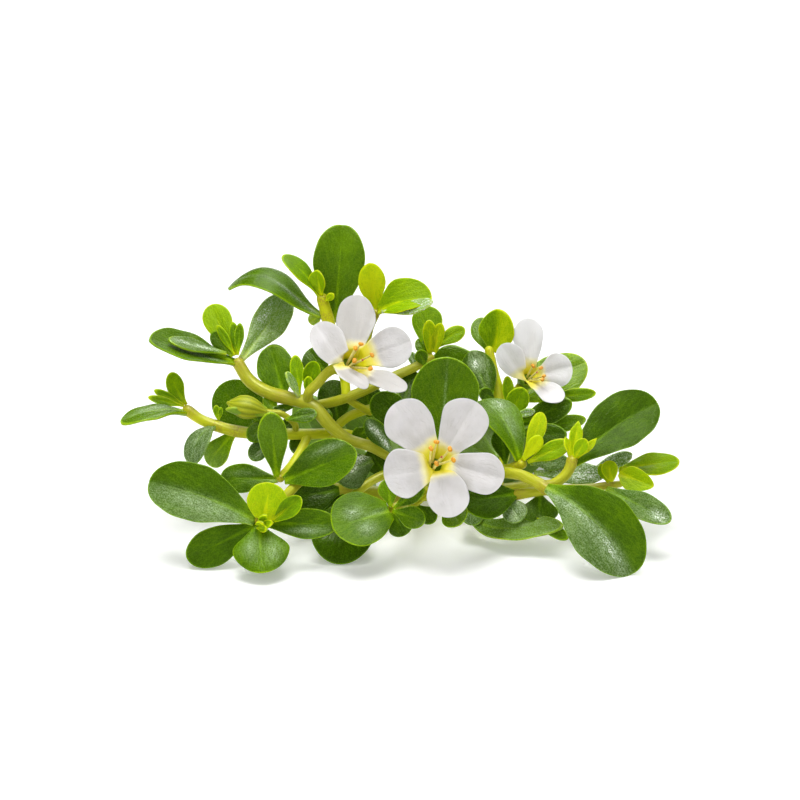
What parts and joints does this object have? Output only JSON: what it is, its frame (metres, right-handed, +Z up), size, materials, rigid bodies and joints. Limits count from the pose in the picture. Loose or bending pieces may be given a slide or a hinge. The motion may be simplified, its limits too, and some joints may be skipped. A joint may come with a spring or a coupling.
{
  "type": "bacopa monnieri plant",
  "caption": "Creeping aquarium herb in flower, as picked: fleshy spoon-shaped leaves on pale stems, open white flowers and a bud, lying on a flat surface.",
  "frame": {"origin": "middle of the plant's bounding box, on the surface that it lies on", "axes": "+X along the plant's length, to the right of a viewer who faces the front flower; +Y away from that viewer; +Z up"},
  "size_m": [0.0555, 0.0298, 0.0277],
  "materials": {
    "leaf": "fleshy green leaf with a fine speckled sheen",
    "young_leaf": "thin yellow-green leaf, lets some light through",
    "stem": "smooth pale yellow-green stem",
    "petal": "matte white petal",
    "bud": "ribbed green bud"
  },
  "bodies": {
    "root": {"stem_main": "stem", "stem_left_lower": "stem", "stem_upper_centre": "stem", "stem_top": "stem", "stem_front_left": "stem", "stem_front_centre": "stem", "stem_right": "stem", "stem_far_right": "stem", "stem_right_lime": "stem", "stem_upper_right": "stem", "stem_crown": "stem", "leaf_top_tall": "leaf", "leaf_top_arched": "leaf", "leaf_lime_upright": "young_leaf", "leaf_lime_right": "young_leaf", "leaf_spoon": "leaf", "leaf_left_oval": "leaf", "leaf_far_left": "leaf", "leaf_hanging_left": "leaf", "leaf_hanging_right": "leaf", "leaf_left_round": "leaf", "leaf_mid_left": "leaf", "leaf_front_vertical": "leaf", "leaf_left_middle": "leaf", "leaf_centre_oval": "leaf", "leaf_rosette_big": "leaf", "leaf_rosette_lower": "leaf", "leaf_rosette_round": "leaf", "leaf_rosette_right": "leaf", "leaf_bottom_dark": "leaf", "leaf_front_round": "leaf", "leaf_centre_tall": "leaf", "leaf_upper_right": "leaf", "leaf_behind_flower": "leaf", "leaf_right_curved": "leaf", "leaf_right_big_upper": "leaf", "leaf_far_right": "young_leaf", "leaf_right_lower": "leaf", "leaf_right_big_lower": "leaf", "leaf_under_flower": "leaf", "leaf_long_bottom": "leaf", "leaf_back_left": "leaf", "leaf_back_centre": "leaf", "leaf_back_right": "leaf", "tip_top": "young_leaf", "tip_left_upper": "young_leaf", "tip_far_left": "young_leaf", "tip_rosette": "young_leaf", "tip_front_centre": "leaf", "tip_upper_centre": "young_leaf", "tip_right_lime": "young_leaf", "tip_right": "young_leaf", "tip_far_right": "young_leaf", "front_flower_stalk": "stem", "front_flower_corolla": "petal", "left_flower_stalk": "stem", "left_flower_corolla": "petal", "right_flower_stalk": "stem", "right_flower_corolla": "petal", "flower_bud": "bud"}
  },
  "joints": []
}
